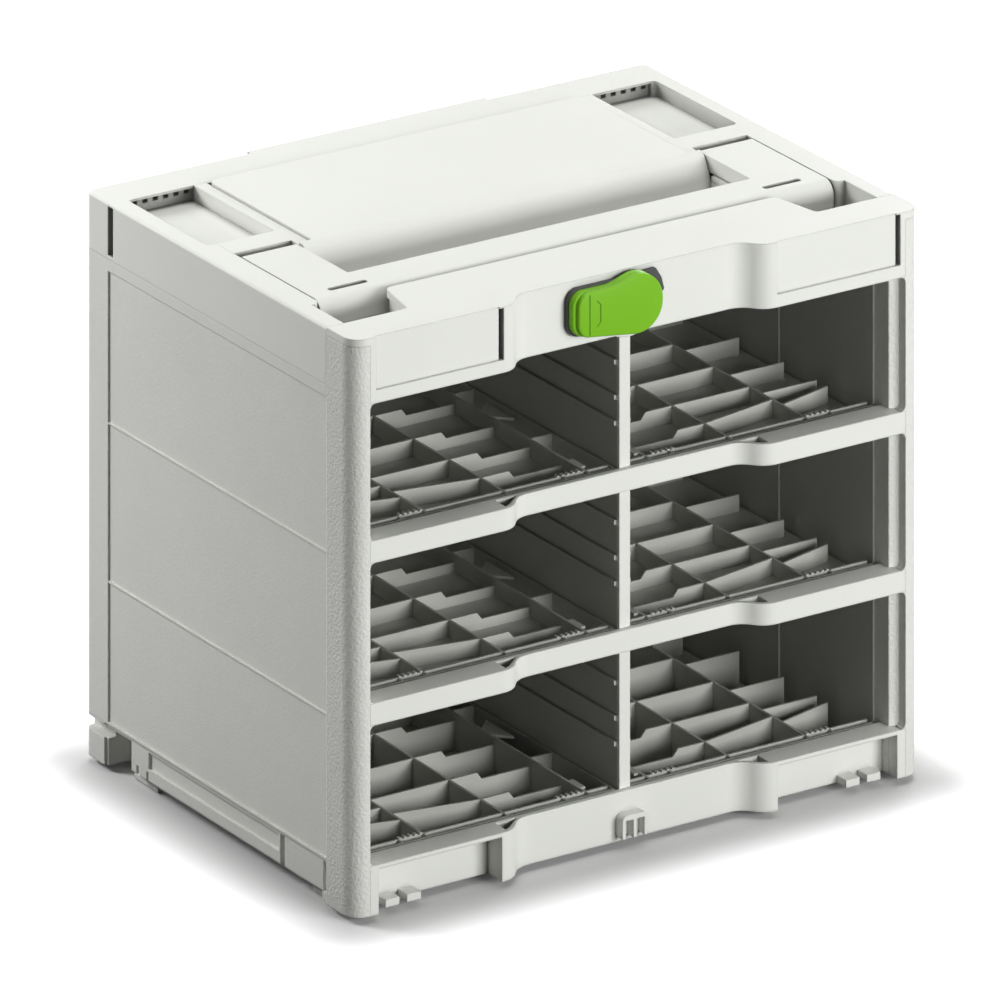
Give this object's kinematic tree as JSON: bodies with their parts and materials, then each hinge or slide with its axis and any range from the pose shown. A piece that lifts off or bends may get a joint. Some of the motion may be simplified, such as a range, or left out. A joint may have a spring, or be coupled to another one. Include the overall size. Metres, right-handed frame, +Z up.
{
  "type": "stacking rack case",
  "caption": "Open-fronted stacking rack case with ribbed bays for small parts boxes, a fold-up carry handle in the lid and a rotary stacking latch.",
  "frame": {"origin": "bottom centre of the bounding box, on the plane of the feet", "axes": "+X to the right seen from the open front, +Y to the rear, +Z up; the latch is on the -Y face"},
  "size_m": [0.396, 0.296, 0.337],
  "materials": {
    "case_plastic": "light grey moulded plastic with a fine grain",
    "liner_plastic": "grey moulded plastic, finely grained",
    "latch_green": "bright green, satin",
    "cam_plastic": "dark grey",
    "steel": "plain turned steel"
  },
  "bodies": {
    "case": {"housing_shell": "case_plastic", "base_pan": "case_plastic", "stacking_feet": "case_plastic", "stacking_clips": "case_plastic", "centre_catch": "case_plastic", "bottom_rail": "case_plastic", "middle_rail": "case_plastic", "upper_rail": "case_plastic", "centre_divider": "liner_plastic", "divider_edges": "case_plastic", "front_post_left": "case_plastic", "front_post_right": "case_plastic", "side_liner_left": "liner_plastic", "side_liner_right": "liner_plastic", "shelf_bottom_left": "liner_plastic", "shelf_middle_left": "liner_plastic", "shelf_top_left": "liner_plastic", "shelf_bottom_right": "liner_plastic", "shelf_middle_right": "liner_plastic", "shelf_top_right": "liner_plastic", "front_fascia": "case_plastic", "bay_ceiling": "liner_plastic", "lid_rim": "case_plastic", "lid_deck": "case_plastic", "lid_centre": "case_plastic", "lid_panel": "case_plastic", "hand_recess": "case_plastic", "handle_pins": "steel"},
    "handle": {"carry_handle": "case_plastic"},
    "latch": {"latch_lever": "latch_green", "latch_cam": "cam_plastic", "latch_spindle": "steel", "latch_retainer": "steel"}
  },
  "joints": [
    {"name": "handle_fold", "type": "hinge", "parent": "case", "child": "handle", "pos_m": [0, -0.003, 0.331], "axis": [-1, 0, 0], "range_deg": [0, 90]},
    {"name": "latch_turn", "type": "hinge", "parent": "case", "child": "latch", "pos_m": [0, -0.14, 0.3178], "axis": [0, 1, 0], "range_deg": [0, 90]}
  ]
}
